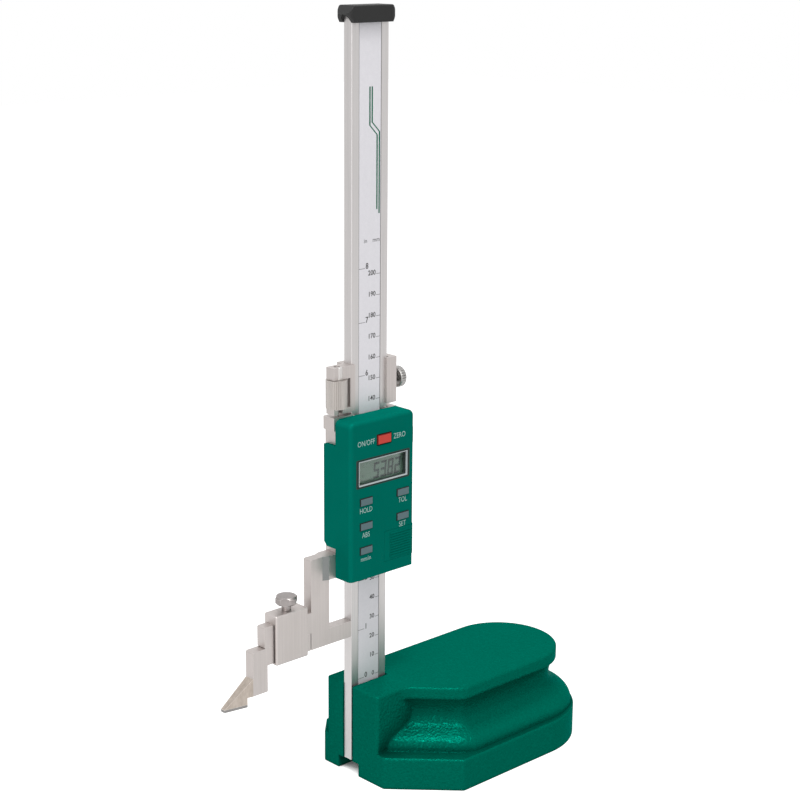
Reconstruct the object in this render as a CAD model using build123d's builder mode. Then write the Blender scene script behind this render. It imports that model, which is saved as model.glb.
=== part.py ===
import os
from math import sqrt

from build123d import *

# Digital height gauge, in millimetres. The origin is the middle of the base's sole, on the surface
# plate. +Z runs up the beam, the scriber reaches towards -X and the display faces -Y.

# Beam and its scale
beam_width = 22.5
beam_thickness = 5.3
beam_top = 367.0
beam_edge_break = 0.2
beam_from_centre_line = 14.0
scale_width = 13.8
scale_thickness = 0.25
scale_recess = 0.35
scale_foot = 44.3
scale_top = 365.0

# Fits
slide_gap = 0.05
thread_gap = 0.03
seat_gap = 0.1
panel_gap = 0.15

# Base casting
base_length = 131.4
base_height = 46.0
beam_set_back = 0.65
foot_half_width = 40.5
foot_height = 16.0
foot_near_corner_y = -12.8
foot_far_corner_y = 30.4
foot_corner_radius = 2.0
shoulder_half_width = 36.9
shoulder_end_ledge = 0.1
shoulder_rise = 4.1
neck_half_width = 25.0
neck_height = 32.0
neck_drop = 4.5
ogee_radius = 7.6
grip_sink = 1.5
plate_half_width = 28.5
plate_lip = 0.5
plate_thickness = 6.0
plate_bevel_x = -26.8
plate_turn_radius = 9.0
block_length = 23.9
block_near_y = -8.0
block_valley_radius = 8.0
block_corner_radius = 1.5
cast_edge_radius = 0.8
channel_width = 14.6
channel_depth = 6.4
channel_centre_y = 12.6
slot_near_gap = 1.65
slot_end_gap = 0.2

# Socket screws that hold the beam in the base, from the back
beam_screw_heights = (23.0, 36.0)
beam_screw_x = -4.0
beam_screw_radius = 2.0
beam_screw_clearance_radius = 2.25
beam_screw_head_radius = 3.5
beam_screw_head_length = 4.0
beam_screw_counterbore_radius = 3.75
beam_screw_counterbore_depth = 4.6
beam_screw_bite = 4.2
beam_screw_socket = 3.0

# Beam end cap
cap_thickness = 10.4
cap_height = 7.6
cap_ridge_height = 3.8
cap_foot_half_length = 11.6
cap_ridge_half_length = 14.6
cap_top_half_length = 11.6
cap_cover_depth = 4.5
cap_corner_radius = 3.4
cap_edge_radius = 0.7
cap_notch_width = 5.4
cap_notch_height = 3.5

# Height of the scriber's measuring edge above the sole, as the display shows it
reading = 53.82

# Scriber
scriber_thickness = 5.3
scriber_drop = 17.7
shank_height = 8.5
shank_end_gap = 0.4
scriber_reach = 72.0
leg_width = 8.7
leg_drop = 13.1
nose_root_rise = 8.6
nose_reach = 86.9
nose_heel = 3.0
nose_bevel_depth = 2.6
carbide_thickness = 1.3
scriber_corner_radius = 1.0

# Scriber clamp and its thumb screw
arm_height = 10.35
arm_reach = 65.0
clamp_reach = 59.3
clamp_length = 19.4
clamp_side_wall = 1.2
clamp_side_gap = 0.6
clamp_floor = 1.1
clamp_roof = 4.3
clamp_edge_radius = 0.5
thumb_screw_radius = 2.0
thumb_neck_radius = 2.2
thumb_neck_height = 3.1
thumb_head_radius = 5.4
thumb_head_height = 3.9
thumb_head_edge = 0.8
thumb_lobes = 4
thumb_flute_radius = 5.4
thumb_flute_centre = 9.9

# Jaw of the slider
jaw_thickness = 5.3
jaw_reach = 36.6
jaw_bar_width = 11.3
jaw_height = 45.1
jaw_foot_height = 8.2
jaw_head_height = 11.8
jaw_shoulder_reach = 29.5
jaw_shoulder_thickness = 8.0
jaw_shoulder_slope = 3.0
jaw_corner_radius = 0.8

# Slider frame round the beam
lip_thickness = 1.3
lip_overlap = 1.25
gib_thickness = 1.1
left_guide_width = 9.0
right_guide_width = 4.05
back_plate_thickness = 2.8
slider_foot_rise = 0.7
lug_reach = 23.2
lug_width = 11.8
lug_height = 6.3
lug_rise = 0.7
lug_thickness = 7.6

# Display housing
housing_rise = 33.4
housing_height = 77.7
housing_depth = 10.6
housing_wall = 1.9
housing_corner_radius = 3.0
housing_edge_radius = 2.0
skirt_gap = 0.1
left_skirt_thickness = 2.1
right_skirt_thickness = 1.7
skirt_rise = 14.4
skirt_height = 50.2
skirt_depth = 8.25
skirt_bevel = 2.0

# Display, from the housing's foot and the beam's centre line
display_centre_x = -1.85
display_rise = 52.35
rim_width = 34.2
rim_height = 14.1
rim_depth = 2.3
rim_corner_radius = 0.9
bright_width = 31.9
bright_height = 13.0
bright_line = 0.85
bright_thickness = 0.7
bright_proud = 0.1
window_width = 33.0
window_height = 13.4
window_thickness = 0.8
display_gap = 0.2

# Buttons, from the housing's foot and the beam's centre line
red_button_x = -1.35
red_button_rise = 66.9
red_button_width = 8.4
red_button_height = 4.4
red_button_gap = 0.6
left_button_x = -12.7
right_button_x = 10.8
upper_button_rise = 38.4
button_pitch = 12.0
button_width = 7.7
button_height = 3.7
button_proud = 0.5
button_edge = 0.25
button_travel = 0.6
button_flange = 0.8
button_flange_overlap = 0.5
button_stem_radius = 1.4

# Battery bay
cover_left_x = -0.9
cover_rise = 5.7
cover_height = 15.0
cover_thickness = 1.4
cover_proud = 0.6
cover_leg_depth = 4.4
cover_corner_radius = 2.4
rib_count = 10
rib_pitch = 1.27
rib_width = 0.6
rib_proud = 0.3
rib_left_inset = 3.6
rib_right_inset = 2.9
battery_x = 8.5
battery_radius = 5.8
battery_length = 5.4
battery_gap = 0.2
well_wall = 1.2
well_floor = 0.6
contact_thickness = 0.25
contact_width = 3.0

# Port cover on the housing's right edge
port_rise = 64.85
port_height = 8.5
port_width = 4.6
port_inset = 3.9
port_proud = 0.5
port_plug_depth = 1.4
port_plug_margin = 0.7

# Electronics behind the display
board_thickness = 1.2
board_stand_off = 1.05
board_left_x = -15.3
board_right_x = 11.9
board_margin = 2.7
reader_gap = 0.3
reader_half_width = 9.7
reader_margin = 5.0

# Housing screws, put in from the back of the slider
housing_screw_radius = 1.0
housing_screw_left_x = -17.8
housing_screw_right_x = 14.4
housing_screw_foot_inset = 5.6
housing_screw_top_inset = 9.6
housing_screw_head_radius = 1.7
housing_screw_head_length = 1.3
housing_screw_counterbore_depth = 1.6
housing_screw_bite = 6.0
housing_boss_radius = 2.2
housing_screw_socket = 1.5

# Fine-adjust carriage, its thumb nut and the threaded rod
fine_gap = 1.4
carriage_height = 22.3
carriage_foot_thickness = 2.5
carriage_head_thickness = 5.9
carriage_left_wall = 1.8
carriage_right_width = 3.75
carriage_lug_depth = 5.5
rod_x = -19.3
rod_y = -1.25
rod_radius = 1.0
rod_bite = 5.5
rod_top_inset = 0.4
rod_slot_width = 2.8
nut_radius = 5.1
nut_gap = 0.15
nut_groove_count = 36
nut_groove_size = 0.3

# Clamp and lock screws with dished disc heads
clamp_screw_rise = 10.8
lock_screw_rise = 45.0
disc_stand_off = 2.7
lock_disc_stand_off = 0.9
disc_radius = 5.1
disc_thickness = 3.4
disc_dish_depth = 0.9
disc_dish_radius = 3.9
disc_neck_radius = 1.9
disc_screw_radius = 1.5
disc_edge = 0.5
disc_groove_count = 24
disc_groove_size = 0.5
screw_slot_width = 1.0
screw_slot_depth = 0.8

# Gibs and gib screws
gib_half_height = 2.5
carriage_gib_margin = 4.0
slider_gib_margin = 6.0
gib_screw_radius = 1.25
gib_screw_rises = (25.0, 65.0)
gib_screw_inset = 0.1
gib_screw_socket = 1.3

# Places that follow from the sizes above
base_end = base_length / 2
half_beam = beam_width / 2
beam_x = -base_end + beam_set_back + half_beam
beam_y = beam_from_centre_line
beam_front = -beam_thickness / 2
beam_back = beam_thickness / 2
beam_foot = channel_depth

foot_centre_x = base_end - foot_half_width
grip_centre_x = base_end - shoulder_half_width - shoulder_end_ledge
plate_foot = base_height - plate_thickness
block_end_x = -base_end + block_length
slot_far_y = beam_y + beam_back + slide_gap
slot_near_y = beam_y + beam_front - slot_near_gap
plate_from_beam = plate_half_width - beam_y
beam_screw_seat = plate_from_beam - beam_screw_counterbore_depth

shank_foot = reading + scriber_drop
shank_top = shank_foot + shank_height
arm_foot = shank_top + slide_gap
arm_top = arm_foot + arm_height
thumb_reach = clamp_reach - clamp_length / 2
jaw_foot = shank_foot
jaw_top = jaw_foot + jaw_height
half_jaw = jaw_thickness / 2

channel_left = -half_beam - slide_gap
channel_right = half_beam + slide_gap + gib_thickness + slide_gap
channel_half = beam_thickness / 2 + slide_gap
opening_half = half_beam - lip_overlap
guide_front = -channel_half - lip_thickness
guide_back = channel_half + back_plate_thickness
slider_left = channel_left - left_guide_width
slider_right = channel_right + right_guide_width

housing_foot = jaw_foot + housing_rise
housing_top = housing_foot + housing_height
housing_back = guide_front - slide_gap
housing_front = housing_back - housing_depth
housing_inside = housing_front + housing_wall
housing_left = slider_left - skirt_gap - left_skirt_thickness
housing_right = slider_right + skirt_gap + right_skirt_thickness
slider_foot = housing_foot + slider_foot_rise
lug_top = housing_top + lug_rise
lug_foot = lug_top - lug_height

carriage_foot = lug_top + fine_gap
carriage_top = carriage_foot + carriage_height
carriage_left = channel_left - carriage_left_wall
carriage_right = channel_right + carriage_right_width
nut_foot = carriage_foot + carriage_foot_thickness + nut_gap
nut_top = carriage_top - carriage_head_thickness - nut_gap

board_back = housing_back - board_stand_off
board_front = board_back - board_thickness
display_height = housing_foot + display_rise
rim_back = housing_front + rim_depth
battery_height = housing_foot + cover_rise + cover_height / 2
battery_front = housing_front + cover_thickness + battery_gap
battery_back = battery_front + battery_length
well_floor_front = battery_back + battery_gap + contact_thickness
well_half = battery_radius + battery_gap + well_wall


def level(height):
    # Level plane at a height, with the beam's centre as its zero
    return Plane(origin=(beam_x, beam_y, height))


def upright(depth):
    # Upright plane that faces the user, at a depth behind the beam's middle: x across, y up
    return Plane(origin=(beam_x, beam_y + depth, 0), x_dir=(1, 0, 0), z_dir=(0, -1, 0))


def across(reach):
    # Upright plane across the beam, at a distance to its right: x to the back, y up
    return Plane(origin=(beam_x + reach, beam_y, 0), x_dir=(0, 1, 0), z_dir=(1, 0, 0))


def panel(left, right, foot, top):
    # Rectangle between four edges, in the plane of the sketch that is open
    with Locations(((left + right) / 2, (foot + top) / 2)):
        Rectangle(right - left, top - foot)


def save(piece, label):
    piece.part.label = label
    export_step(piece.part, f"parts/{label}.step")


os.makedirs("parts", exist_ok=True)


# Base: finger grip with an ogee section, from its middle plane out to the shoulder
def grip_section(plane, inner_edge):
    with BuildSketch(plane) as section:
        with BuildLine():
            ogee = Polyline(
                (inner_edge, plate_foot),
                (inner_edge, foot_height - grip_sink),
                (shoulder_half_width, foot_height - grip_sink),
                (shoulder_half_width, foot_height + shoulder_rise),
                (neck_half_width, neck_height - neck_drop),
                (neck_half_width, neck_height),
            )
            lip = TangentArc(
                ogee @ 1, (plate_half_width - plate_lip, plate_foot), tangent=(0, 1)
            )
            Line(lip @ 1, ogee @ 0)
        make_face()
        fillet(section.vertices().sort_by(Axis.Y)[2:4], radius=ogee_radius)
    return section.sketch


# The section runs along both sides, turns round the free end and turns into a bevel on each side
turn_reach = plate_half_width - plate_turn_radius
near_turn_x = plate_bevel_x + plate_turn_radius * (sqrt(2) - 1)
far_turn_x = block_end_x + plate_turn_radius * (sqrt(2) - 1)
turn_shift = turn_reach / sqrt(2)
near_side = Plane(origin=(grip_centre_x, 0, 0), x_dir=(0, -1, 0), z_dir=(-1, 0, 0))
far_side = Plane(origin=(grip_centre_x, 0, 0), x_dir=(0, 1, 0), z_dir=(1, 0, 0))
near_bevel = Plane(
    origin=(near_turn_x + turn_shift, turn_shift - turn_reach, 0), x_dir=(-1, -1, 0), z_dir=(-1, 1, 0)
)
far_bevel = Plane(
    origin=(far_turn_x + turn_shift, turn_reach - turn_shift, 0), x_dir=(-1, 1, 0), z_dir=(1, 1, 0)
)
near_bevel_run = (
    sqrt(2) * (near_turn_x + base_end - block_corner_radius) - shoulder_half_width + turn_reach
)
far_bevel_run = shoulder_half_width - plate_half_width

with BuildPart() as grip:
    near_wall = grip_section(near_side, 0)
    extrude(near_wall, amount=grip_centre_x - near_turn_x)
    far_wall = grip_section(far_side, 0)
    extrude(far_wall, amount=far_turn_x - grip_centre_x)
    revolve(near_wall, axis=Axis((grip_centre_x, 0, 0), (0, 0, 1)), revolution_arc=180)
    near_bevel_wall = grip_section(near_bevel, 0)
    extrude(near_bevel_wall, amount=near_bevel_run)
    far_bevel_wall = grip_section(far_bevel, 0)
    extrude(far_bevel_wall, amount=-far_bevel_run)
    near_turn = grip_section(near_bevel, turn_reach)
    revolve(near_turn, axis=Axis((near_turn_x, -turn_reach, 0), (0, 0, 1)), revolution_arc=45)
    far_turn = grip_section(far_bevel, turn_reach)
    revolve(far_turn, axis=Axis((far_turn_x, turn_reach, 0), (0, 0, -1)), revolution_arc=45)

with BuildPart() as base_casting:
    # Foot flange with bevelled corners beside the beam and a round free end
    with BuildSketch() as foot_outline:
        near_bevel_x = -base_end + foot_near_corner_y + foot_half_width
        far_bevel_x = -base_end + foot_half_width - foot_far_corner_y
        with BuildLine():
            Polyline(
                (foot_centre_x, -foot_half_width),
                (near_bevel_x, -foot_half_width),
                (-base_end, foot_near_corner_y),
                (-base_end, foot_far_corner_y),
                (far_bevel_x, foot_half_width),
                (foot_centre_x, foot_half_width),
            )
            ThreePointArc(
                (foot_centre_x, foot_half_width), (base_end, 0), (foot_centre_x, -foot_half_width)
            )
        make_face()
        fillet(
            foot_outline.vertices().filter_by_position(Axis.X, -base_end, near_bevel_x),
            radius=foot_corner_radius,
        )
    extrude(amount=foot_height)
    fillet(faces().sort_by(Axis.Z)[-1].edges(), radius=cast_edge_radius)
    add(grip.part)
    # End block that carries the beam
    with BuildSketch() as block_outline:
        panel(-base_end, block_end_x, block_near_y, plate_half_width)
        fillet(block_outline.vertices().group_by(Axis.X)[0], radius=block_corner_radius)
    extrude(amount=base_height)
    # Plate over the grip, with a soft valley where it meets the block
    with BuildSketch(Plane.XY.offset(plate_foot)) as plate_outline:
        valley_x = plate_bevel_x - plate_half_width - block_near_y
        with BuildLine():
            Polyline(
                (grip_centre_x, -plate_half_width),
                (plate_bevel_x, -plate_half_width),
                (valley_x, block_near_y),
                (-base_end, block_near_y),
                (-base_end, plate_half_width),
                (grip_centre_x, plate_half_width),
            )
            ThreePointArc(
                (grip_centre_x, plate_half_width),
                (grip_centre_x + plate_half_width, 0),
                (grip_centre_x, -plate_half_width),
            )
        make_face()
        fillet(plate_outline.vertices().group_by(Axis.X)[0], radius=block_corner_radius)
        fillet(
            plate_outline.vertices().filter_by_position(Axis.X, valley_x - 1, valley_x + 1),
            radius=block_valley_radius,
        )
        fillet(
            plate_outline.vertices().filter_by_position(Axis.X, plate_bevel_x - 1, plate_bevel_x + 1),
            radius=plate_turn_radius,
        )
    extrude(amount=plate_thickness)
    fillet(faces().sort_by(Axis.Z)[-1].edges(), radius=cast_edge_radius)
    # Slot for the beam, open at the end face, and the channel along the sole
    with BuildSketch(Plane.XY.offset(channel_depth)):
        panel(-base_end, beam_x + half_beam + slot_end_gap, slot_near_y, slot_far_y)
    extrude(amount=base_height, mode=Mode.SUBTRACT)
    with BuildSketch():
        with Locations((0, channel_centre_y)):
            Rectangle(base_length, channel_width)
    extrude(amount=channel_depth, mode=Mode.SUBTRACT)
    with Locations(
        [
            Plane(origin=(beam_x + beam_screw_x, plate_half_width, height), z_dir=(0, 1, 0))
            for height in beam_screw_heights
        ]
    ):
        CounterBoreHole(
            radius=beam_screw_clearance_radius,
            counter_bore_radius=beam_screw_counterbore_radius,
            counter_bore_depth=beam_screw_counterbore_depth,
            depth=plate_half_width - slot_far_y,
        )
save(base_casting, "base_casting")

# Beam with a groove for the scale and two tapped holes in its back
with BuildPart() as beam:
    with BuildSketch(level(beam_foot)):
        Rectangle(beam_width, beam_thickness)
    extrude(amount=beam_top - beam_foot)
    chamfer(edges().filter_by(Axis.Z), length=beam_edge_break)
    with BuildSketch(upright(beam_front + scale_recess)):
        panel(-scale_width / 2, scale_width / 2, scale_foot, scale_top)
    extrude(amount=scale_recess, mode=Mode.SUBTRACT)
    with BuildSketch(upright(beam_back)):
        with Locations([(beam_screw_x, height) for height in beam_screw_heights]):
            Circle(beam_screw_radius + thread_gap)
    extrude(amount=beam_screw_bite + seat_gap, mode=Mode.SUBTRACT)
save(beam, "beam")

with BuildPart() as scale_strip:
    with BuildSketch(upright(beam_front + scale_recess)):
        panel(
            -scale_width / 2 + slide_gap,
            scale_width / 2 - slide_gap,
            scale_foot + slide_gap,
            scale_top - slide_gap,
        )
    extrude(amount=scale_thickness)
save(scale_strip, "scale_strip")

with BuildPart() as beam_screws:
    with BuildSketch(upright(beam_screw_seat)):
        with Locations([(beam_screw_x, height) for height in beam_screw_heights]):
            Circle(beam_screw_radius)
    extrude(amount=beam_screw_seat - beam_back + beam_screw_bite)
    with BuildSketch(upright(beam_screw_seat)):
        with Locations([(beam_screw_x, height) for height in beam_screw_heights]):
            Circle(beam_screw_head_radius)
    extrude(amount=-beam_screw_head_length)
    with BuildSketch(upright(beam_screw_seat + beam_screw_head_length)):
        with Locations([(beam_screw_x, height) for height in beam_screw_heights]):
            RegularPolygon(beam_screw_socket / 2, 6, major_radius=False)
    extrude(amount=beam_screw_head_length / 2, mode=Mode.SUBTRACT)
save(beam_screws, "beam_screws")

# Moulded cap: a ridge all round, rounded ends, a notch under each end where the beam's edge shows
with BuildPart() as beam_end_cap:
    cap_foot = beam_top - cap_cover_depth
    with BuildSketch(upright(0)):
        with BuildLine():
            Polyline(
                (-cap_foot_half_length, cap_foot),
                (cap_foot_half_length, cap_foot),
                (cap_ridge_half_length, cap_foot + cap_ridge_height),
                (cap_top_half_length, cap_foot + cap_height),
                (-cap_top_half_length, cap_foot + cap_height),
                (-cap_ridge_half_length, cap_foot + cap_ridge_height),
                close=True,
            )
        make_face()
    extrude(amount=cap_thickness / 2, both=True)
    with BuildSketch(level(cap_foot)):
        RectangleRounded(2 * cap_ridge_half_length, cap_thickness, cap_corner_radius)
    extrude(amount=cap_height, mode=Mode.INTERSECT)
    fillet(faces().sort_by(Axis.Z)[-1].edges(), radius=cap_edge_radius)
    with BuildSketch(level(cap_foot)):
        Rectangle(beam_width + seat_gap, beam_thickness + seat_gap)
    extrude(amount=cap_cover_depth + slide_gap, mode=Mode.SUBTRACT)
    with BuildSketch(across(-cap_ridge_half_length)):
        with Locations((0, cap_foot)):
            SlotCenterToCenter(2 * cap_notch_height - cap_notch_width, cap_notch_width, rotation=90)
    extrude(amount=2 * cap_ridge_half_length, mode=Mode.SUBTRACT)
save(beam_end_cap, "beam_end_cap")

# Fine-adjust carriage: a C round the beam with two lugs that hold the thumb nut
with BuildPart() as adjust_carriage:
    with BuildSketch(level(carriage_foot)):
        with Locations(((carriage_left + carriage_right) / 2, (guide_front + guide_back) / 2)):
            Rectangle(carriage_right - carriage_left, guide_back - guide_front)
    extrude(amount=carriage_height)
    with BuildSketch(upright(guide_front + carriage_lug_depth)):
        panel(-lug_reach, carriage_left, carriage_foot, carriage_foot + carriage_foot_thickness)
        panel(-lug_reach, carriage_left, carriage_top - carriage_head_thickness, carriage_top)
    extrude(amount=carriage_lug_depth)
    with BuildSketch(level(carriage_foot)):
        with Locations(((channel_left + channel_right) / 2, 0)):
            Rectangle(channel_right - channel_left, 2 * channel_half)
        with Locations((0, (guide_front - channel_half) / 2)):
            Rectangle(2 * opening_half, channel_half - guide_front)
    extrude(amount=carriage_height, mode=Mode.SUBTRACT)
    # Slots for the rod, open to the front
    with BuildSketch(level(carriage_foot)):
        with Locations((rod_x, rod_y)):
            Circle(rod_slot_width / 2)
        with Locations((rod_x, (guide_front + rod_y) / 2)):
            Rectangle(rod_slot_width, rod_y - guide_front)
    extrude(amount=carriage_height, mode=Mode.SUBTRACT)
    with BuildSketch(across(channel_right)):
        with Locations((0, carriage_foot + clamp_screw_rise)):
            Circle(disc_screw_radius + slide_gap)
    extrude(amount=carriage_right_width, mode=Mode.SUBTRACT)
save(adjust_carriage, "adjust_carriage")

with BuildPart() as carriage_gib:
    with BuildSketch(across(half_beam + slide_gap)):
        panel(
            -gib_half_height,
            gib_half_height,
            carriage_foot + carriage_gib_margin,
            carriage_top - carriage_gib_margin,
        )
    extrude(amount=gib_thickness)
save(carriage_gib, "carriage_gib")

# Thumb nut with a straight knurl, captive between the carriage's lugs
with BuildPart() as adjust_nut:
    with BuildSketch(level(nut_foot)) as nut_outline:
        with Locations((rod_x, rod_y)):
            Circle(nut_radius)
            Circle(rod_radius + slide_gap, mode=Mode.SUBTRACT)
            with PolarLocations(nut_radius, nut_groove_count):
                Rectangle(nut_groove_size, nut_groove_size, rotation=45, mode=Mode.SUBTRACT)
    extrude(amount=nut_top - nut_foot)
save(adjust_nut, "adjust_nut")

with BuildPart() as adjust_rod:
    with BuildSketch(level(lug_top - rod_bite)):
        with Locations((rod_x, rod_y)):
            Circle(rod_radius)
    extrude(amount=carriage_top - rod_top_inset - lug_top + rod_bite)
    chamfer(edges().group_by(Axis.Z)[-1], length=rod_radius / 4)
save(adjust_rod, "adjust_rod")


# Screw with a knurled disc head that is dished towards the beam, along +X at a height
def disc_screw(height, wall, stand_off):
    disc_start = wall + stand_off
    disc_end = disc_start + disc_thickness
    with BuildPart() as screw:
        with BuildSketch(upright(0)):
            with BuildLine():
                Polyline(
                    (channel_right, height),
                    (channel_right, height + disc_screw_radius),
                    (wall + seat_gap, height + disc_screw_radius),
                    (wall + seat_gap, height + disc_neck_radius),
                    (disc_start + disc_dish_depth, height + disc_neck_radius),
                    (disc_start, height + disc_dish_radius),
                    (disc_start, height + disc_radius - disc_edge),
                    (disc_start + disc_edge, height + disc_radius),
                    (disc_end - disc_edge, height + disc_radius),
                    (disc_end, height + disc_radius - disc_edge),
                    (disc_end, height),
                    close=True,
                )
            make_face()
        revolve(axis=Axis((beam_x, beam_y, height), (1, 0, 0)))
        with BuildSketch(across(disc_start)):
            with Locations((0, height)):
                with PolarLocations(disc_radius, disc_groove_count):
                    Rectangle(disc_groove_size, disc_groove_size, rotation=45)
        extrude(amount=disc_thickness, mode=Mode.SUBTRACT)
        with BuildSketch(across(disc_end)):
            with Locations((0, height)):
                Rectangle(screw_slot_width, 2 * disc_dish_radius)
        extrude(amount=-screw_slot_depth, mode=Mode.SUBTRACT)
    return screw


carriage_clamp_screw = disc_screw(carriage_foot + clamp_screw_rise, carriage_right, disc_stand_off)
save(carriage_clamp_screw, "carriage_clamp_screw")

slider_lock_screw = disc_screw(
    slider_foot + lock_screw_rise, slider_right, housing_right + lock_disc_stand_off - slider_right
)
save(slider_lock_screw, "slider_lock_screw")

# Slider: guide round the beam, lug for the rod, C-shaped jaw and the arm for the scriber
with BuildPart() as slider_frame:
    with BuildSketch(upright(guide_back)):
        panel(slider_left, slider_right, slider_foot, housing_top)
    extrude(amount=guide_back - guide_front)
    with BuildSketch(upright(guide_front + lug_thickness)):
        panel(-lug_reach, -lug_reach + lug_width, lug_foot, lug_top)
    extrude(amount=lug_thickness)
    with BuildSketch(upright(0)) as jaw_outline:
        panel(-jaw_reach, -jaw_reach + jaw_bar_width, jaw_foot, jaw_top)
        panel(-jaw_reach, slider_left, jaw_top - jaw_head_height, jaw_top)
        panel(-jaw_reach, -half_beam - seat_gap, jaw_foot, jaw_foot + jaw_foot_height)
        panel(-arm_reach, -jaw_reach, arm_foot, arm_top)
        fillet(jaw_outline.vertices().sort_by(Axis.Y)[-1:], radius=jaw_corner_radius)
        fillet(jaw_outline.vertices().group_by(Axis.X)[0], radius=jaw_corner_radius)
    extrude(amount=half_jaw, both=True)
    with BuildSketch(level(jaw_top - jaw_head_height)):
        with BuildLine():
            Polyline(
                (slider_left, -jaw_shoulder_thickness / 2),
                (-jaw_shoulder_reach + jaw_shoulder_slope, -jaw_shoulder_thickness / 2),
                (-jaw_shoulder_reach, -half_jaw),
                (-jaw_shoulder_reach, half_jaw),
                (-jaw_shoulder_reach + jaw_shoulder_slope, jaw_shoulder_thickness / 2),
                (slider_left, jaw_shoulder_thickness / 2),
                close=True,
            )
        make_face()
    extrude(amount=jaw_head_height)
    with BuildSketch(level(slider_foot)):
        with Locations(((channel_left + channel_right) / 2, 0)):
            Rectangle(channel_right - channel_left, 2 * channel_half)
        with Locations((0, (guide_front - channel_half) / 2)):
            Rectangle(2 * opening_half, channel_half - guide_front)
    extrude(amount=lug_top - slider_foot, mode=Mode.SUBTRACT)
    with BuildSketch(level(lug_top)):
        with Locations((rod_x, rod_y)):
            Circle(rod_radius + thread_gap)
    extrude(amount=-rod_bite, mode=Mode.SUBTRACT)
    # Tapped holes in the right guide for the lock screw and the gib screws
    with BuildSketch(across(channel_right)):
        with Locations((0, slider_foot + lock_screw_rise)):
            Circle(disc_screw_radius + slide_gap)
        with Locations([(0, slider_foot + rise) for rise in gib_screw_rises]):
            Circle(gib_screw_radius + thread_gap)
    extrude(amount=right_guide_width, mode=Mode.SUBTRACT)
    # Holes for the housing screws, from the back
    housing_screw_places = [
        (reach, height)
        for reach in (housing_screw_left_x, housing_screw_right_x)
        for height in (
            housing_foot + housing_screw_foot_inset,
            housing_top - housing_screw_top_inset,
        )
    ]
    with Locations(
        [
            Plane(origin=(beam_x + reach, beam_y + guide_back, height), z_dir=(0, 1, 0))
            for reach, height in housing_screw_places
        ]
    ):
        CounterBoreHole(
            radius=housing_screw_radius + slide_gap,
            counter_bore_radius=housing_screw_head_radius + seat_gap,
            counter_bore_depth=housing_screw_counterbore_depth,
            depth=guide_back - guide_front,
        )
save(slider_frame, "slider_frame")

with BuildPart() as slider_gib:
    with BuildSketch(across(half_beam + slide_gap)):
        panel(
            -gib_half_height,
            gib_half_height,
            slider_foot + slider_gib_margin,
            housing_top - slider_gib_margin,
        )
    extrude(amount=gib_thickness)
save(slider_gib, "slider_gib")

with BuildPart() as gib_screws:
    gib_screw_length = right_guide_width - gib_screw_inset
    with BuildSketch(across(channel_right)):
        with Locations([(0, slider_foot + rise) for rise in gib_screw_rises]):
            Circle(gib_screw_radius)
    extrude(amount=gib_screw_length)
    with BuildSketch(across(channel_right + gib_screw_length)):
        with Locations([(0, slider_foot + rise) for rise in gib_screw_rises]):
            RegularPolygon(gib_screw_socket / 2, 6, major_radius=False)
    extrude(amount=-gib_screw_length / 2, mode=Mode.SUBTRACT)
save(gib_screws, "gib_screws")

# Housing: a tray open at its back, with side skirts over the slider, bosses and a battery well
button_rises = [upper_button_rise - row * button_pitch for row in range(3)]
button_places = {
    "button_zero": (red_button_x, red_button_rise),
    "button_hold": (left_button_x, button_rises[0]),
    "button_abs": (left_button_x, button_rises[1]),
    "button_unit": (left_button_x, button_rises[2]),
    "button_tol": (right_button_x, button_rises[0]),
    "button_set": (right_button_x, button_rises[1]),
}


def button_size(label):
    if label == "button_zero":
        return red_button_width, red_button_height, red_button_gap
    return button_width, button_height, panel_gap


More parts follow.
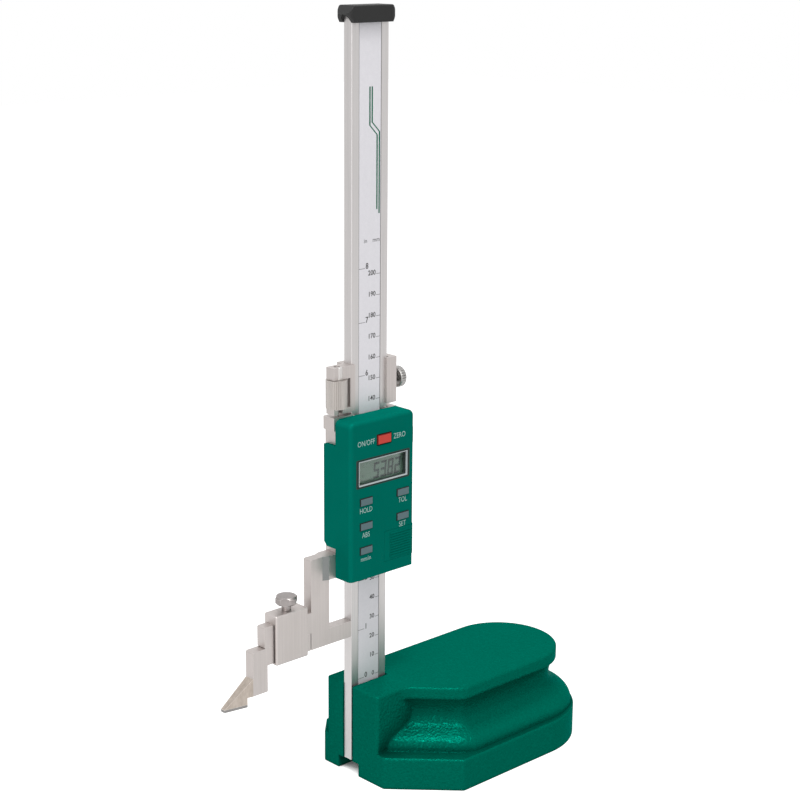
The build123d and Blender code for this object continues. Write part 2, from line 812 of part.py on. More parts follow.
with BuildPart() as housing_shell:
    with BuildSketch(upright(housing_back)) as housing_outline:
        panel(housing_left, housing_right, housing_foot, housing_top)
        fillet(housing_outline.vertices().group_by(Axis.Y)[-1], radius=housing_corner_radius)
    extrude(amount=housing_depth)
    front_edges = faces().sort_by(Axis.Y)[0].edges().sort_by(Axis.Z)
    fillet(front_edges[1:], radius=housing_edge_radius)
    with BuildSketch(across(housing_left)):
        with BuildLine():
            Polyline(
                (housing_inside, housing_foot + skirt_rise),
                (housing_back + skirt_depth - skirt_bevel, housing_foot + skirt_rise),
                (housing_back + skirt_depth, housing_foot + skirt_rise + skirt_bevel),
                (housing_back + skirt_depth, housing_foot + skirt_rise + skirt_height),
                (housing_inside, housing_foot + skirt_rise + skirt_height),
                close=True,
            )
        make_face()
    extrude(amount=housing_right - housing_left)
    with BuildSketch(upright(housing_back + skirt_depth)):
        panel(
            housing_left + left_skirt_thickness,
            housing_right - right_skirt_thickness,
            housing_foot + skirt_rise,
            housing_foot + skirt_rise + skirt_height,
        )
    extrude(amount=skirt_depth, mode=Mode.SUBTRACT)
    with BuildSketch(upright(housing_back)):
        panel(
            housing_left + left_skirt_thickness,
            housing_right - housing_wall,
            housing_foot + housing_wall,
            housing_top - housing_wall,
        )
    extrude(amount=housing_back - housing_inside, mode=Mode.SUBTRACT)
    with BuildSketch(upright(housing_back)):
        with Locations(housing_screw_places):
            Circle(housing_boss_radius)
    extrude(amount=housing_back - housing_inside)
    with BuildSketch(upright(well_floor_front + well_floor)):
        panel(
            battery_x - well_half,
            housing_right - housing_wall,
            battery_height - well_half,
            battery_height + well_half,
        )
    extrude(amount=well_floor_front + well_floor - housing_inside)
    # Blind screw holes in the bosses
    with BuildSketch(upright(housing_back)):
        with Locations(housing_screw_places):
            Circle(housing_screw_radius + thread_gap)
    extrude(amount=housing_screw_bite + seat_gap, mode=Mode.SUBTRACT)
    # Openings in the front for the display and the buttons
    with BuildSketch(upright(housing_inside)):
        with Locations((display_centre_x, display_height)):
            RectangleRounded(rim_width, rim_height, rim_corner_radius)
        for label, (reach, rise) in button_places.items():
            width, height, gap = button_size(label)
            with Locations((reach, housing_foot + rise)):
                Rectangle(width + 2 * gap, height + 2 * gap)
    extrude(amount=housing_wall, mode=Mode.SUBTRACT)
    # Bay for the sliding battery cover, open to the right, and the well behind it
    bay_foot = battery_height - cover_height / 2 - panel_gap
    bay_top = battery_height + cover_height / 2 + panel_gap
    leg_inside = housing_right + cover_proud - cover_thickness - panel_gap
    with BuildSketch(upright(housing_front + cover_thickness + panel_gap)):
        panel(cover_left_x - panel_gap, housing_right, bay_foot, bay_top)
    extrude(amount=cover_thickness + panel_gap, mode=Mode.SUBTRACT)
    with BuildSketch(upright(housing_front + cover_leg_depth + panel_gap)):
        panel(leg_inside, housing_right, bay_foot, bay_top)
    extrude(amount=cover_leg_depth + panel_gap, mode=Mode.SUBTRACT)
    with BuildSketch(upright(well_floor_front)):
        with Locations((battery_x, battery_height)):
            Circle(battery_radius + battery_gap)
        panel(
            battery_x - battery_radius - battery_gap - contact_thickness,
            battery_x,
            battery_height - contact_width / 2 - seat_gap,
            battery_height + contact_width / 2 + seat_gap,
        )
    extrude(amount=well_floor_front - housing_front, mode=Mode.SUBTRACT)
    # Openings in the right side for the port and in the right skirt for the lock screw
    port_height_middle = housing_foot + port_rise
    port_depth = housing_front + port_inset
    with BuildSketch(across(housing_right - housing_wall)):
        with Locations((port_depth, port_height_middle)):
            Rectangle(port_width - 2 * port_plug_margin, port_height - 2 * port_plug_margin)
        with Locations((0, slider_foot + lock_screw_rise)):
            Circle(disc_neck_radius + panel_gap)
    extrude(amount=housing_wall, mode=Mode.SUBTRACT)
save(housing_shell, "housing_shell")

with BuildPart() as housing_screws:
    screw_seat = guide_back - housing_screw_counterbore_depth
    with BuildSketch(upright(screw_seat)):
        with Locations(housing_screw_places):
            Circle(housing_screw_radius)
    extrude(amount=screw_seat - housing_back + housing_screw_bite)
    with BuildSketch(upright(screw_seat)):
        with Locations(housing_screw_places):
            Circle(housing_screw_head_radius)
    extrude(amount=-housing_screw_head_length)
    with BuildSketch(upright(screw_seat + housing_screw_head_length)):
        with Locations(housing_screw_places):
            RegularPolygon(housing_screw_socket / 2, 6, major_radius=False)
    extrude(amount=housing_screw_head_length / 2, mode=Mode.SUBTRACT)
save(housing_screws, "housing_screws")

# Display: black rim through the wall, bright frame in its front, window and display block behind
with BuildPart() as lcd_gasket:
    with BuildSketch(upright(rim_back)):
        with Locations((display_centre_x, display_height)):
            RectangleRounded(
                rim_width - 2 * slide_gap, rim_height - 2 * slide_gap, rim_corner_radius - slide_gap
            )
            Rectangle(
                bright_width - 2 * bright_line, bright_height - 2 * bright_line, mode=Mode.SUBTRACT
            )
    extrude(amount=rim_depth)
    with BuildSketch(upright(housing_front + bright_thickness)):
        with Locations((display_centre_x, display_height)):
            Rectangle(bright_width, bright_height)
    extrude(amount=bright_thickness, mode=Mode.SUBTRACT)
save(lcd_gasket, "lcd_gasket")

with BuildPart() as lcd_frame:
    with BuildSketch(upright(housing_front + bright_thickness)):
        with Locations((display_centre_x, display_height)):
            Rectangle(bright_width - 2 * slide_gap, bright_height - 2 * slide_gap)
            Rectangle(
                bright_width - 2 * bright_line, bright_height - 2 * bright_line, mode=Mode.SUBTRACT
            )
    extrude(amount=bright_thickness + bright_proud)
save(lcd_frame, "lcd_frame")

with BuildPart() as lcd_window:
    with BuildSketch(upright(rim_back + window_thickness)):
        with Locations((display_centre_x, display_height)):
            Rectangle(window_width, window_height)
    extrude(amount=window_thickness)
save(lcd_window, "lcd_window")

with BuildPart() as lcd_module:
    with BuildSketch(upright(board_front)):
        with Locations((display_centre_x, display_height)):
            Rectangle(window_width, window_height)
    extrude(amount=board_front - rim_back - window_thickness - display_gap)
save(lcd_module, "lcd_module")

with BuildPart() as circuit_board:
    with BuildSketch(upright(board_back)):
        panel(
            board_left_x, board_right_x, housing_foot + board_margin, housing_top - board_margin
        )
    extrude(amount=board_thickness)
save(circuit_board, "circuit_board")

with BuildPart() as reader_plate:
    with BuildSketch(upright(beam_front - reader_gap)):
        panel(
            -reader_half_width,
            reader_half_width,
            housing_foot + reader_margin,
            housing_top - reader_margin,
        )
    extrude(amount=beam_front - reader_gap - board_back)
save(reader_plate, "reader_plate")

# Buttons: cap through the wall, flange behind it, stem that stops short of the board
for label, (reach, rise) in button_places.items():
    width, height, gap = button_size(label)
    flange_front = housing_inside + seat_gap
    flange_back = flange_front + button_flange
    stem_end = board_front - button_travel - panel_gap
    button_height_middle = housing_foot + rise
    with BuildPart() as button:
        with BuildSketch(upright(flange_front)):
            with Locations((reach, button_height_middle)):
                Rectangle(width, height)
        extrude(amount=flange_front - housing_front + button_proud)
        chamfer(faces().sort_by(Axis.Y)[0].edges(), length=button_edge)
        with BuildSketch(upright(flange_back)):
            with Locations((reach, button_height_middle)):
                flange_margin = 2 * (gap + button_flange_overlap)
                Rectangle(width + flange_margin, height + flange_margin)
        extrude(amount=button_flange)
        with BuildSketch(upright(stem_end)):
            with Locations((reach, button_height_middle)):
                Circle(button_stem_radius)
        extrude(amount=stem_end - flange_back)
    save(button, label)

# Battery cover: a plate with a leg round the housing's right edge and ribs for the finger
with BuildPart() as battery_cover:
    cover_right = housing_right + cover_proud
    cover_back = housing_front + cover_thickness
    with BuildSketch(level(battery_height - cover_height / 2)) as cover_outline:
        with BuildLine():
            Polyline(
                (cover_left_x, housing_front),
                (cover_right, housing_front),
                (cover_right, housing_front + cover_leg_depth),
                (cover_right - cover_thickness, housing_front + cover_leg_depth),
                (cover_right - cover_thickness, cover_back),
                (cover_left_x, cover_back),
                close=True,
            )
        make_face()
        corner = cover_outline.vertices().group_by(Axis.Y)[0].sort_by(Axis.X)[-1]
        fillet(corner, radius=cover_corner_radius)
    extrude(amount=cover_height)
    with BuildSketch(upright(housing_front)):
        with Locations(
            ((cover_left_x + rib_left_inset + cover_right - rib_right_inset) / 2, battery_height)
        ):
            with GridLocations(0, rib_pitch, 1, rib_count):
                Rectangle(
                    cover_right - cover_left_x - rib_left_inset - rib_right_inset, rib_width
                )
    extrude(amount=rib_proud)
save(battery_cover, "battery_cover")

with BuildPart() as battery_cell:
    with BuildSketch(upright(battery_back)):
        with Locations((battery_x, battery_height)):
            Circle(battery_radius)
    extrude(amount=battery_length)
save(battery_cell, "battery_cell")

# Contacts: a cross under the cell and a leaf at its left side
with BuildPart() as battery_contacts:
    with BuildSketch(upright(well_floor_front)):
        with Locations((battery_x, battery_height)):
            Rectangle(2 * contact_width, contact_width)
            Rectangle(contact_width, 2 * contact_width)
    extrude(amount=contact_thickness)
    leaf_x = battery_x - battery_radius - battery_gap - contact_thickness
    with BuildSketch(upright(well_floor_front)):
        panel(
            leaf_x,
            leaf_x + contact_thickness,
            battery_height - contact_width / 2,
            battery_height + contact_width / 2,
        )
    extrude(amount=battery_length)
save(battery_contacts, "battery_contacts")

with BuildPart() as data_port_cover:
    with BuildSketch(across(housing_right + slide_gap)):
        with Locations((port_depth, port_height_middle)):
            RectangleRounded(port_width, port_height, port_plug_margin)
    extrude(amount=port_proud)
    with BuildSketch(across(housing_right + slide_gap)):
        with Locations((port_depth, port_height_middle)):
            plug_margin = 2 * (port_plug_margin + panel_gap)
            Rectangle(port_width - plug_margin, port_height - plug_margin)
    extrude(amount=-port_plug_depth)
save(data_port_cover, "data_port_cover")

# Clamp box round the arm and the scriber's shank
with BuildPart() as scriber_clamp:
    half_room = scriber_thickness / 2 + clamp_side_gap
    half_clamp = half_room + clamp_side_wall
    with BuildSketch(across(-clamp_reach)) as clamp_outline:
        panel(
            -half_clamp,
            half_clamp,
            shank_foot - slide_gap - clamp_floor,
            arm_top + slide_gap + clamp_roof,
        )
    extrude(amount=clamp_length)
    chamfer(edges(), length=clamp_edge_radius)
    with BuildSketch(across(-clamp_reach)):
        panel(
            -half_room, half_room, shank_foot - slide_gap, arm_top + slide_gap
        )
    extrude(amount=clamp_length, mode=Mode.SUBTRACT)
    with BuildSketch(level(arm_top)):
        with Locations((-thumb_reach, 0)):
            Circle(thumb_screw_radius + slide_gap)
    extrude(amount=clamp_roof + clamp_side_wall, mode=Mode.SUBTRACT)
save(scriber_clamp, "scriber_clamp")

# Lobed thumb screw that bears on the arm
with BuildPart() as clamp_thumb_screw:
    thumb_seat = arm_top + slide_gap + clamp_roof + seat_gap
    head_foot = thumb_seat + thumb_neck_height
    with BuildSketch(level(arm_top + slide_gap)):
        with Locations((-thumb_reach, 0)):
            Circle(thumb_screw_radius)
    extrude(amount=head_foot - arm_top - slide_gap)
    with BuildSketch(level(thumb_seat)):
        with Locations((-thumb_reach, 0)):
            Circle(thumb_neck_radius)
    extrude(amount=thumb_neck_height)
    with BuildSketch(upright(0)):
        with BuildLine():
            Polyline(
                (-thumb_reach, head_foot),
                (-thumb_reach + thumb_head_radius - thumb_head_edge, head_foot),
                (-thumb_reach + thumb_head_radius, head_foot + thumb_head_edge),
                (-thumb_reach + thumb_head_radius, head_foot + thumb_head_height - thumb_head_edge),
                (-thumb_reach + thumb_head_radius - thumb_head_edge, head_foot + thumb_head_height),
                (-thumb_reach, head_foot + thumb_head_height),
                close=True,
            )
        make_face()
    revolve(axis=Axis((beam_x - thumb_reach, beam_y, 0), (0, 0, 1)))
    with BuildSketch(level(head_foot)):
        with Locations((-thumb_reach, 0)):
            with PolarLocations(thumb_flute_centre, thumb_lobes, start_angle=180 / thumb_lobes):
                Circle(thumb_flute_radius)
    extrude(amount=thumb_head_height, mode=Mode.SUBTRACT)
save(clamp_thumb_screw, "clamp_thumb_screw")


# The scriber's nose is ground away on its front, down to an edge at the tip
def grind_nose():
    nose_room = nose_reach + nose_heel
    with BuildSketch(level(0)) as ground:
        with BuildLine():
            Polyline(
                (-scriber_reach, beam_front - slide_gap),
                (-scriber_reach, beam_front),
                (-nose_reach, beam_front + nose_bevel_depth),
                (-nose_room, beam_front + nose_bevel_depth),
                (-nose_room, beam_front - slide_gap),
                close=True,
            )
        make_face()
    extrude(ground.sketch, amount=shank_foot, mode=Mode.SUBTRACT)


with BuildPart() as scriber:
    nose_end_x = -scriber_reach - nose_heel
    leg_foot = shank_foot - leg_drop
    nose_foot = reading + carbide_thickness
    with BuildSketch(upright(0)) as scriber_outline:
        with BuildLine():
            Polyline(
                (-jaw_reach - shank_end_gap, shank_foot),
                (-jaw_reach - shank_end_gap, shank_top),
                (-scriber_reach, shank_top),
                (-scriber_reach, leg_foot + nose_root_rise),
                (-nose_reach, nose_foot),
                (nose_end_x, nose_foot),
                (nose_end_x, leg_foot),
                (-scriber_reach + leg_width, leg_foot),
                (-scriber_reach + leg_width, shank_foot),
                close=True,
            )
        make_face()
        fillet(
            scriber_outline.vertices().group_by(Axis.Y)[-1].sort_by(Axis.X)[0],
            radius=scriber_corner_radius,
        )
    extrude(amount=scriber_thickness / 2, both=True)
    grind_nose()
save(scriber, "scriber")

with BuildPart() as carbide_tip:
    with BuildSketch(upright(0)):
        panel(-nose_reach, nose_end_x, reading, nose_foot)
    extrude(amount=scriber_thickness / 2, both=True)
    grind_nose()
save(carbide_tip, "carbide_tip")
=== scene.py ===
import math
import bmesh
import bpy
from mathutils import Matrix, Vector


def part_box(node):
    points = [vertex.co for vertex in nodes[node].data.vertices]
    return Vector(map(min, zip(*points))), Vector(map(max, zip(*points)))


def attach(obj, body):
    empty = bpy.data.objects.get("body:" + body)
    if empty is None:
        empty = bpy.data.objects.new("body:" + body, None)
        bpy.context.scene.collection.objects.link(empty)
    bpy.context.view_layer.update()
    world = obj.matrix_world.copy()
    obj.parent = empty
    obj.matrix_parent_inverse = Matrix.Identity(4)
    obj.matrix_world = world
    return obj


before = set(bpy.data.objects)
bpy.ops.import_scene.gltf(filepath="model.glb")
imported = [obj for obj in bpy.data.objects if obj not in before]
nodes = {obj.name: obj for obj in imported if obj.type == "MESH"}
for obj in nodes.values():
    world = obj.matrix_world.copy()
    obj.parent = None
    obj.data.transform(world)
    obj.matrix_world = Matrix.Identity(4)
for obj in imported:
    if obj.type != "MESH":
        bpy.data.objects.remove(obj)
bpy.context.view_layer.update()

# Digital height gauge. Metres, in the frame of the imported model: the origin is the middle of the
# base's sole, Z goes up the beam, the display faces -Y and the scriber reaches towards -X.

mm = 0.001
print("stage: frame loaded,", len(nodes), "nodes")

# The photograph's view

cameraSetup = {
    "place": (-0.60723, -0.59466, 0.40513),
    "turn": (75.180, -0.440, -43.299),  # degrees
    "focal": 81.052,
    "sensor": 36.0,
}


def makeCamera(setup):
    lens = bpy.data.cameras.new("photoCamera")
    lens.lens = setup["focal"]
    lens.sensor_width = setup["sensor"]
    lens.clip_start = 0.01
    camera = bpy.data.objects.new("photoCamera", lens)
    camera.location = setup["place"]
    camera.rotation_euler = [math.radians(angle) for angle in setup["turn"]]
    bpy.context.scene.collection.objects.link(camera)
    bpy.context.scene.camera = camera


makeCamera(cameraSetup)
print("stage: camera")


# Small helpers for shader trees

nodeGrid = {"across": 190, "down": 170}  # steps between nodes in the shader editor


def addNode(tree, kind, column, row, **settings):
    made = tree.nodes.new(kind)
    made.location = (column * nodeGrid["across"], -row * nodeGrid["down"])
    for name, value in settings.items():
        setattr(made, name, value)
    return made


def plug(tree, source, target):
    tree.links.new(source, target)


def newGroup(name, inputs, outputs):
    tree = bpy.data.node_groups.new(name, "ShaderNodeTree")
    for label, value in inputs.items():
        kind = "NodeSocketVector" if isinstance(value, tuple) else "NodeSocketFloat"
        tree.interface.new_socket(label, in_out="INPUT", socket_type=kind).default_value = value
    for label in outputs:
        tree.interface.new_socket(label, in_out="OUTPUT", socket_type="NodeSocketFloat")
    start = addNode(tree, "NodeGroupInput", -4, 0)
    end = addNode(tree, "NodeGroupOutput", 5, 0)
    return tree, start.outputs, end.inputs


def placeGroup(tree, group, column, row, **values):
    made = addNode(tree, "ShaderNodeGroup", column, row, node_tree=group)
    for label, value in values.items():
        made.inputs[label].default_value = value
    return made.outputs


def feed(tree, value, socket):
    # A number or a colour is set on the socket, an output is linked to it
    if isinstance(value, tuple):
        socket.default_value = (*value, 1)
    elif isinstance(value, (int, float)):
        socket.default_value = value
    else:
        plug(tree, value, socket)


def mathNode(tree, operation, column, row, first, second, clamp=False):
    made = addNode(tree, "ShaderNodeMath", column, row, operation=operation, use_clamp=clamp)
    feed(tree, first, made.inputs[0])
    feed(tree, second, made.inputs[1])
    return made.outputs[0]


def mixColours(tree, factor, colourA, colourB, column, row):
    made = addNode(tree, "ShaderNodeMix", column, row, data_type="RGBA")
    feed(tree, factor, made.inputs[0])
    feed(tree, colourA, made.inputs[6])
    feed(tree, colourB, made.inputs[7])
    return made.outputs[2]


def mixNumbers(tree, factor, first, second, column, row):
    made = addNode(tree, "ShaderNodeMix", column, row, data_type="FLOAT")
    feed(tree, factor, made.inputs[0])
    feed(tree, first, made.inputs[2])
    feed(tree, second, made.inputs[3])
    return made.outputs[0]


def objectPlace(tree):
    return addNode(tree, "ShaderNodeTexCoord", -3, 1).outputs["Object"]


def addNoise(tree, vector, column, row, **values):
    made = addNode(tree, "ShaderNodeTexNoise", column, row)
    plug(tree, vector, made.inputs["Vector"])
    for label, value in values.items():
        feed(tree, value, made.inputs[label])
    return made.outputs


def newMaterial(name):
    material = bpy.data.materials.new(name)
    material.use_nodes = True
    tree = material.node_tree
    tree.nodes.clear()
    surface = addNode(tree, "ShaderNodeBsdfPrincipled", 6, 0)
    output = addNode(tree, "ShaderNodeOutputMaterial", 8, 0)
    plug(tree, surface.outputs[0], output.inputs[0])
    return material, tree, surface


def bumpFrom(tree, surface, height, strength, distance, soften=0.0):
    # soften rounds the edges in the shading, in metres
    bump = addNode(tree, "ShaderNodeBump", 5, 3)
    bump.inputs["Strength"].default_value = strength
    bump.inputs["Distance"].default_value = distance
    plug(tree, height, bump.inputs["Height"])
    plug(tree, bump.outputs[0], surface.inputs["Normal"])
    if soften:
        rounded = addNode(tree, "ShaderNodeBevel", 4, 4, samples=8)
        rounded.inputs["Radius"].default_value = soften
        plug(tree, rounded.outputs[0], bump.inputs["Normal"])


# Shader groups that several finishes share

grindSetup = {"scale": 1.0, "detail": 3.0, "streakScale": 0.22, "streakDetail": 2.0}


def makeGrindGroup(setup):
    # Fine parallel scratches, with longer streaks under them
    tree, inside, outside = newGroup(
        "grindMarks", {"Direction": (40.0, 40.0, 4000.0), "Streaks": 0.5}, ("Shade", "Height")
    )
    stretch = addNode(tree, "ShaderNodeVectorMath", -2, 1, operation="MULTIPLY")
    plug(tree, objectPlace(tree), stretch.inputs[0])
    plug(tree, inside["Direction"], stretch.inputs[1])
    drawn = stretch.outputs[0]
    fine = addNoise(tree, drawn, -1, 0, Scale=setup["scale"], Detail=setup["detail"])
    wide = addNoise(tree, drawn, -1, 2, Scale=setup["streakScale"], Detail=setup["streakDetail"])
    plug(tree, mixNumbers(tree, inside["Streaks"], fine[0], wide[0], 1, 1), outside["Shade"])
    plug(tree, fine[0], outside["Height"])
    return tree


edgeSetup = {"samples": 4, "gain": 6.0, "noise": 900.0}


def makeEdgeGroup(setup):
    # Where a surface turns: 1 on edges, 0 on flats, broken up by noise; the finishes give edges their own
    # colour with it, partly wear and partly a painted edge highlight
    tree, inside, outside = newGroup("edgeWearAndHighlight", {"Radius": 0.0004, "Breakup": 0.4}, ("Edge",))
    rounded = addNode(tree, "ShaderNodeBevel", -3, 0, samples=setup["samples"])
    plug(tree, inside["Radius"], rounded.inputs["Radius"])
    flat = addNode(tree, "ShaderNodeNewGeometry", -3, 2)
    facing = addNode(tree, "ShaderNodeVectorMath", -2, 1, operation="DOT_PRODUCT")
    plug(tree, rounded.outputs[0], facing.inputs[0])
    plug(tree, flat.outputs["Normal"], facing.inputs[1])
    turned = mathNode(tree, "SUBTRACT", -1, 1, 1.0, facing.outputs["Value"])
    strong = mathNode(tree, "MULTIPLY", 0, 1, turned, setup["gain"], clamp=True)
    noise = addNoise(tree, objectPlace(tree), -2, 3, Scale=setup["noise"])
    held = mathNode(tree, "MULTIPLY", -1, 3, noise[0], inside["Breakup"])
    plug(tree, mathNode(tree, "SUBTRACT", 1, 1, strong, held, clamp=True), outside["Edge"])
    return tree


smudgeSetup = {"detail": 4.0, "roughness": 0.6, "dustDetail": 1.0, "dustFloor": 0.66, "dustGain": 8.0}


def makeSmudgeGroup(setup):
    # Handling marks: soft patches and faint specks of dust
    tree, inside, outside = newGroup("handling", {"Size": 60.0, "Dust": 2500.0}, ("Patches", "Specks"))
    place = objectPlace(tree)
    patches = addNoise(
        tree, place, -1, 0, Scale=inside["Size"], Detail=setup["detail"], Roughness=setup["roughness"]
    )
    specks = addNoise(tree, place, -1, 2, Scale=inside["Dust"], Detail=setup["dustDetail"])
    sparse = mathNode(tree, "SUBTRACT", 1, 2, specks[0], setup["dustFloor"], clamp=True)
    plug(tree, patches[0], outside["Patches"])
    plug(tree, mathNode(tree, "MULTIPLY", 2, 2, sparse, setup["dustGain"], clamp=True), outside["Specks"])
    return tree


hammerSetup = {"wobble": 300.0, "shift": 0.0016, "detail": 3.0, "rippleShare": 0.45}


def makeHammerGroup(setup):
    # Hammertone enamel: shallow cells of uneven size over a rippled coat
    tree, inside, outside = newGroup("hammertone", {"Cells": 420.0, "Ripple": 130.0}, ("Shade", "Height"))
    place = objectPlace(tree)
    wobble = addNoise(tree, place, -3, 3, Scale=setup["wobble"])
    shift = addNode(tree, "ShaderNodeVectorMath", -2, 2, operation="MULTIPLY_ADD")
    shift.inputs[1].default_value = (setup["shift"],) * 3
    plug(tree, wobble["Color"], shift.inputs[0])
    plug(tree, place, shift.inputs[2])
    cells = addNode(tree, "ShaderNodeTexVoronoi", -1, 0, feature="SMOOTH_F1")
    plug(tree, shift.outputs[0], cells.inputs["Vector"])
    plug(tree, inside["Cells"], cells.inputs["Scale"])
    depth = cells.outputs["Distance"]
    ripple = addNoise(tree, place, -1, 2, Scale=inside["Ripple"], Detail=setup["detail"])
    plug(tree, depth, outside["Shade"])
    plug(tree, mixNumbers(tree, setup["rippleShare"], depth, ripple[0], 1, 1), outside["Height"])
    return tree


grainSetup = {"detail": 2.0}


def makeGrainGroup(setup):
    # Spark-eroded grain of moulded plastic
    tree, inside, outside = newGroup("mouldGrain", {"Size": 2600.0}, ("Height",))
    grain = addNoise(tree, objectPlace(tree), -1, 1, Scale=inside["Size"], Detail=setup["detail"])
    plug(tree, grain[0], outside["Height"])
    return tree


creviceShadeSetup = {"samples": 8}


def makeCreviceGroup(setup):
    # 1 in the open, towards 0 in hollows and corners; the enamel uses it to paint shade there
    tree, inside, outside = newGroup("creviceShade", {"Reach": 0.01, "Depth": 1.0}, ("Open",))
    samples = setup["samples"]
    shade = addNode(tree, "ShaderNodeAmbientOcclusion", -1, 0, samples=samples, only_local=True)
    plug(tree, inside["Reach"], shade.inputs["Distance"])
    plug(tree, mathNode(tree, "POWER", 1, 0, shade.outputs["AO"], inside["Depth"]), outside["Open"])
    return tree


grindMarks = makeGrindGroup(grindSetup)
edgeWearAndHighlight = makeEdgeGroup(edgeSetup)
handling = makeSmudgeGroup(smudgeSetup)
hammertone = makeHammerGroup(hammerSetup)
mouldGrain = makeGrainGroup(grainSetup)
creviceShade = makeCreviceGroup(creviceShadeSetup)
print("stage: shader groups")


# Finishes

def roughen(tree, surface, patches, look):
    # The finish's own roughness, with a share of the handling marks on top
    spread = mathNode(tree, "MULTIPLY", 2, 2, patches, look["uneven"])
    plug(tree, mathNode(tree, "ADD", 3, 2, spread, look["rough"]), surface.inputs["Roughness"])


def setGloss(surface, look):
    surface.inputs["Specular IOR Level"].default_value = look["specular"]
    surface.inputs["Metallic"].default_value = look["flake"]
    surface.inputs["Specular Tint"].default_value = (*look["gloss"], 1)


def groundSteel(name, look):
    # Ground steel: light and even, with grinding lines along one direction
    material, tree, surface = newMaterial(name)
    grind = placeGroup(tree, grindMarks, 0, 0, Direction=look["grain"], Streaks=look["streaks"])
    touch = placeGroup(tree, handling, 0, 2, Size=look["patch"])
    edge = placeGroup(tree, edgeWearAndHighlight, 0, 4, Radius=look["wear"])
    tint = mixColours(tree, grind["Shade"], look["dark"], look["light"], 2, 0)
    plug(tree, mixColours(tree, edge["Edge"], tint, look["edge"], 3, 0), surface.inputs["Base Color"])
    roughen(tree, surface, touch["Patches"], look)
    surface.inputs["Metallic"].default_value = look["metallic"]
    bumpFrom(tree, surface, grind["Height"], look["bump"], look["relief"])
    return material


def mouldedPlastic(name, look):
    material, tree, surface = newMaterial(name)
    grain = placeGroup(tree, mouldGrain, 0, 3, Size=look["grain"])
    touch = placeGroup(tree, handling, 0, 1, Size=look["patch"])
    edge = placeGroup(tree, edgeWearAndHighlight, 0, 4, Radius=look["wear"], Breakup=look["breakup"])
    tint = mixColours(tree, touch["Patches"], look["dark"], look["light"], 2, 0)
    # Edges take the edge colour: wear, and a painted edge highlight
    rubbed = mixColours(tree, edge["Edge"], tint, look["edge"], 3, 0)
    dusted = mathNode(tree, "MULTIPLY", 3, 1, touch["Specks"], look["dust"])
    plug(tree, mixColours(tree, dusted, rubbed, look["dustColour"], 4, 0), surface.inputs["Base Color"])
    roughen(tree, surface, touch["Patches"], look)
    setGloss(surface, look)
    bumpFrom(tree, surface, grain["Height"], look["bump"], look["relief"])
    return material


def castEnamel(name, look):
    material, tree, surface = newMaterial(name)
    hammer = placeGroup(tree, hammertone, 0, 0, Cells=look["cells"], Ripple=look["ripple"])
    touch = placeGroup(tree, handling, 0, 2, Size=look["patch"])
    edge = placeGroup(tree, edgeWearAndHighlight, 0, 4, Radius=look["wear"], Breakup=look["breakup"])
    hollowShade = placeGroup(tree, creviceShade, 0, 6, Reach=look["reach"], Depth=look["depth"])
    tint = mixColours(tree, hammer["Shade"], look["dark"], look["light"], 2, 0)
    # Edges take the edge colour: wear, and a painted edge highlight
    worn = mixColours(tree, edge["Edge"], tint, look["edge"], 3, 0)
    # Painted shade: the colour goes towards the deep colour in hollows and corners
    plug(tree, mixColours(tree, hollowShade["Open"], look["deep"], worn, 4, 0), surface.inputs["Base Color"])
    roughen(tree, surface, touch["Patches"], look)
    setGloss(surface, look)
    bumpFrom(tree, surface, hammer["Height"], look["bump"], look["relief"], look["soften"])
    return material


def displayGlass(name, look):
    material, tree, surface = newMaterial(name)
    touch = placeGroup(tree, handling, 0, 2, Size=look["patch"], Dust=look["dust"])
    coat = mixColours(tree, touch["Specks"], look["clear"], look["dull"], 2, 0)
    dulled = mathNode(tree, "MULTIPLY", 2, 2, touch["Patches"], look["rough"])
    plug(tree, coat, surface.inputs["Base Color"])
    plug(tree, dulled, surface.inputs["Roughness"])
    surface.inputs["Transmission Weight"].default_value = 1.0
    surface.inputs["IOR"].default_value = look["bend"]
    return material


# What all steels share, and what all plastics share; a finish's own values come first

